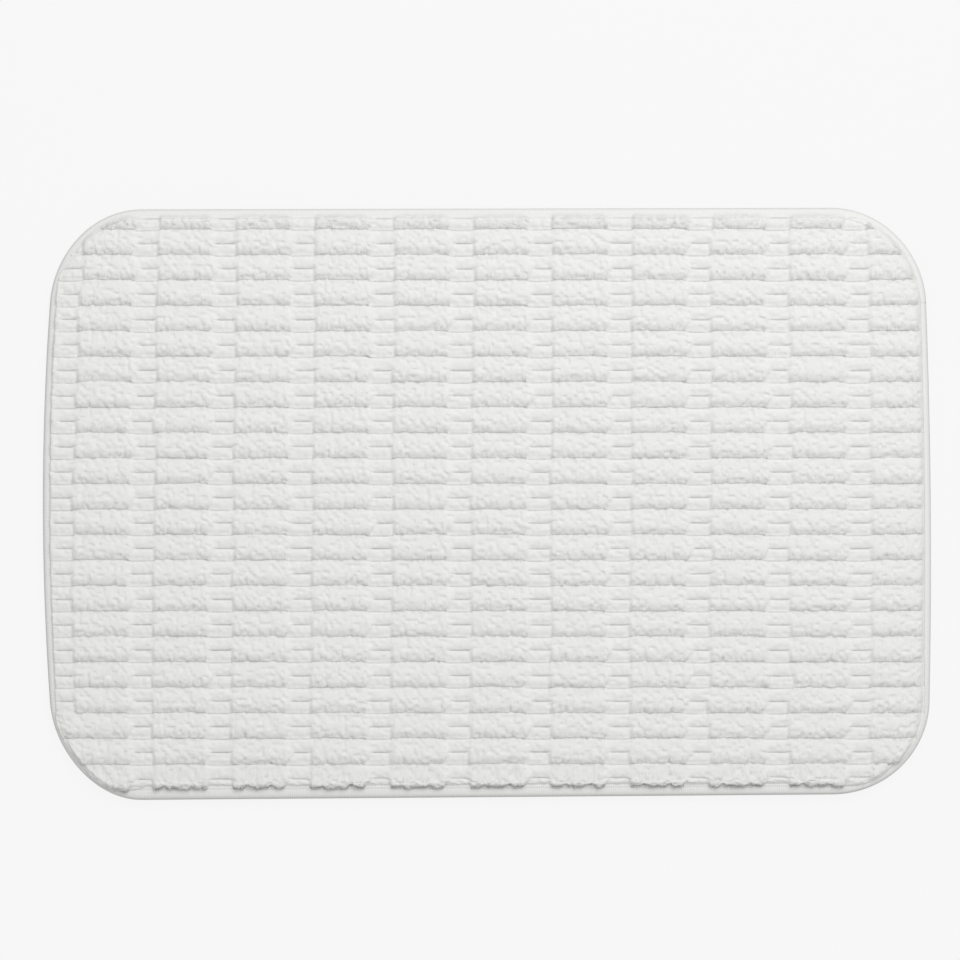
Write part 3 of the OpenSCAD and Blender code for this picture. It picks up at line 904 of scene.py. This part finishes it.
# Thermoplastic rubber printed on the cloth: a satin, slightly grippy skin with fine pin holes
def gripRubber():
    material, tree = newMaterial("printedGripRubber")
    place = addNode(tree, "ShaderNodeTexCoord")
    cloud = addNode(tree, "ShaderNodeTexNoise", values={"Scale": 300.0, "Detail": 4.0},
                    links={"Vector": place.outputs["Object"]})
    tone = addNode(tree, "ShaderNodeMix", {"data_type": "RGBA"},
                   {6: toLinear(grip["shadeTone"]), 7: toLinear(grip["tone"])}, {0: cloud.outputs["Fac"]})
    skin = addNode(tree, "ShaderNodeTexNoise", values={"Scale": 1600.0, "Detail": 2.0},
                   links={"Vector": place.outputs["Object"]})
    return endSurface(material, tone.outputs[2], skin.outputs["Fac"], {"Strength": 0.4, "Distance": 0.0001},
                      {"Roughness": 0.5, "IOR": 1.5})


# Where a dot lies wholly on the backing cloth, clear of the tape and the label
def dotSpots():
    line = grip["pitch"] * math.sqrt(3) / 2
    rows, columns = math.ceil(mat["halfWidth"] / line), math.ceil(mat["halfLength"] / grip["pitch"])
    labelX = (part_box("care_label")[0].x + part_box("care_label")[1].x) / 2 / mm
    spots = []
    for row in range(-rows, rows + 1):
        for column in range(-columns, columns + 1):
            x, y = (column + (row % 2) / 2) * grip["pitch"], row * line
            nearLabel = abs(x - labelX) < grip["labelClear"][0] and y > grip["labelClear"][1]
            if insideDepth(x, y) >= grip["margin"] and not nearLabel:
                spots.append((x * mm, y * mm, backingBox[0].z))
    return spots


# A flat dome hung under each point
def dotTree():
    tree, given = newTree("gripDots", {"Radius": "Float", "Height": "Float"})
    tip = addNode(tree, "ShaderNodeMath", {"operation": "MULTIPLY"}, {1: 0.4}, {0: given.outputs["Radius"]})
    blank = addNode(tree, "GeometryNodeMeshCone", {"fill_type": "NGON"}, {"Vertices": 14, "Side Segments": 4},
                    {"Radius Top": tip.outputs[0], "Radius Bottom": given.outputs["Radius"],
                     "Depth": given.outputs["Height"]})
    place = addNode(tree, "GeometryNodeInputPosition")
    axes = addNode(tree, "ShaderNodeSeparateXYZ", links={0: place.outputs[0]})
    flat = addNode(tree, "ShaderNodeCombineXYZ", links={"X": axes.outputs["X"], "Y": axes.outputs["Y"]})
    away = addNode(tree, "ShaderNodeVectorMath", {"operation": "LENGTH"}, links={0: flat.outputs[0]})
    share = addNode(tree, "ShaderNodeMath", {"operation": "DIVIDE"},
                    links={0: away.outputs["Value"], 1: given.outputs["Radius"]})
    curved = addNode(tree, "ShaderNodeMath", {"operation": "POWER"}, {1: 3.5}, {0: share.outputs[0]})
    crown = addNode(tree, "ShaderNodeMath", {"operation": "SUBTRACT"}, {0: 1.0}, {1: curved.outputs[0]})
    rise = addNode(tree, "ShaderNodeMath", {"operation": "MULTIPLY"},
                   links={0: crown.outputs[0], 1: given.outputs["Height"]})
    risen = addNode(tree, "ShaderNodeCombineXYZ",
                    links={"X": axes.outputs["X"], "Y": axes.outputs["Y"], "Z": rise.outputs[0]})
    dome = addNode(tree, "GeometryNodeSetPosition",
                   links={"Geometry": blank.outputs["Mesh"], "Position": risen.outputs[0]})
    dots = addNode(tree, "GeometryNodeInstanceOnPoints", values={"Rotation": (math.pi, 0.0, 0.0)},
                   links={"Points": given.outputs["Geometry"], "Instance": dome.outputs[0]})
    return endTree(tree, given, realSmooth(tree, dots))


spotMesh = bpy.data.meshes.new("gripDots")
spotMesh.from_pydata(dotSpots(), [], [])
gripDots = addObject("gripDots", spotMesh)
applyTree(gripDots, dotTree(), {"Radius": grip["diameter"] / 2 * mm, "Height": grip["height"] * mm,
                                "Finish": gripRubber()})
declare(gripDots, "grip_dots")
print("grip dots:", len(gripDots.data.polygons), "faces")


label = {
    "step": 2.0, "lift": 0.15,       # how far its free end curls
    # the shade tone is painted shade, where the floats lie low
    "tone": "#F8F8F6", "shadeTone": "#E8E8E6", "ribbonPitch": 0.9,
}


# Woven satin ribbon, left blank: long floats run one way and give it a soft directional shine
def satinRibbon():
    material, tree = newMaterial("wovenSatinRibbon")
    place = addNode(tree, "ShaderNodeTexCoord")
    drawn = addNode(tree, "ShaderNodeMapping", values={"Scale": (1000 / label["ribbonPitch"], 120.0, 120.0)},
                    links={"Vector": place.outputs["Object"]})
    floats = addNode(tree, "ShaderNodeTexNoise", values={"Scale": 1.0, "Detail": 3.0},
                     links={"Vector": drawn.outputs["Vector"]})
    # painted shade: the tone follows the floats' relief, darker where they lie low
    tone = addNode(tree, "ShaderNodeMix", {"data_type": "RGBA"},
                   {6: toLinear(label["shadeTone"]), 7: toLinear(label["tone"])}, {0: floats.outputs["Fac"]})
    return endSurface(material, tone.outputs[2], floats.outputs["Fac"], {"Strength": 0.4, "Distance": 0.0001},
                      {"Roughness": 0.38, "Specular IOR Level": 0.5, "Anisotropic": 0.4})


# A thin closed ribbon whose free end curls a hair towards the floor
def careLabel():
    low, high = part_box("care_label")
    x = np.linspace(low.x / mm, high.x / mm, round((high.x - low.x) / mm / label["step"]))
    t = np.linspace(0, 1, round((high.y - low.y) / mm / label["step"]))
    x, t = np.repeat(x[:, None], len(t), 1), np.repeat(t[None, :], len(x), 0)
    y = low.y / mm + (high.y - low.y) / mm * t
    dip = label["lift"] * (0.5 + 0.5 * np.cos(x / 9)) * (1 - t) ** 2
    return closedSlab("careLabel", x, y, low.z / mm - dip, high.z / mm - dip, satinRibbon(), smooth=True)


careRibbon = careLabel()
declare(careRibbon, "care_label")
print("care label and soft pieces declared")

studio = {
    "floorSize": 12.0,
    "floorGlow": 0.875, "floorTone": "#484848", "bounceTone": "#6A6A6A",
    "keyPower": 38.2, "keySize": 1.8, "keyFrom": (0.62, 1.52, 2.42),
    "fill": 0.594, "lens": 80.0, "cameraAt": (-0.0059, 0.0227, 2.19),
}


# A pale floor. Looked at, it keeps only a faint shadow; to the mat it gives a dark and moderate bounce.
def paleFloor():
    material, tree = newMaterial("paleFloor")
    seen = addNode(tree, "ShaderNodeBsdfPrincipled",
                   values={"Base Color": toLinear(studio["floorTone"]), "Roughness": 0.9,
                           "Specular IOR Level": 0.0, "Emission Color": (1, 1, 1, 1),
                           "Emission Strength": studio["floorGlow"]})
    bounce = addNode(tree, "ShaderNodeBsdfDiffuse", values={"Color": toLinear(studio["bounceTone"])})
    ray = addNode(tree, "ShaderNodeLightPath")
    both = addNode(tree, "ShaderNodeMixShader",
                   links={0: ray.outputs["Is Camera Ray"], 1: bounce.outputs[0], 2: seen.outputs[0]})
    addNode(tree, "ShaderNodeOutputMaterial", links={"Surface": both.outputs[0]})
    return material


floorMaterial = paleFloor()
bpy.ops.mesh.primitive_plane_add(size=studio["floorSize"])
floor = bpy.context.object
floor.name = "floor"
floor.data.materials.append(floorMaterial)

world = bpy.data.worlds.new("studio")
bpy.context.scene.world = world
world.use_nodes = True
world.node_tree.nodes["Background"].inputs["Color"].default_value = (1, 1, 1, 1)
world.node_tree.nodes["Background"].inputs["Strength"].default_value = studio["fill"]

keyData = bpy.data.lights.new("key", "AREA")
keyData.energy = studio["keyPower"]
keyData.size = studio["keySize"]
key = addObject("key", keyData)
key.location = studio["keyFrom"]
key.rotation_euler = (-key.location).to_track_quat("-Z", "Y").to_euler()

cameraData = bpy.data.cameras.new("camera")
cameraData.lens = studio["lens"]
camera = addObject("camera", cameraData)
camera.location = studio["cameraAt"]
bpy.context.scene.camera = camera
bpy.context.scene.view_settings.view_transform = "Standard"
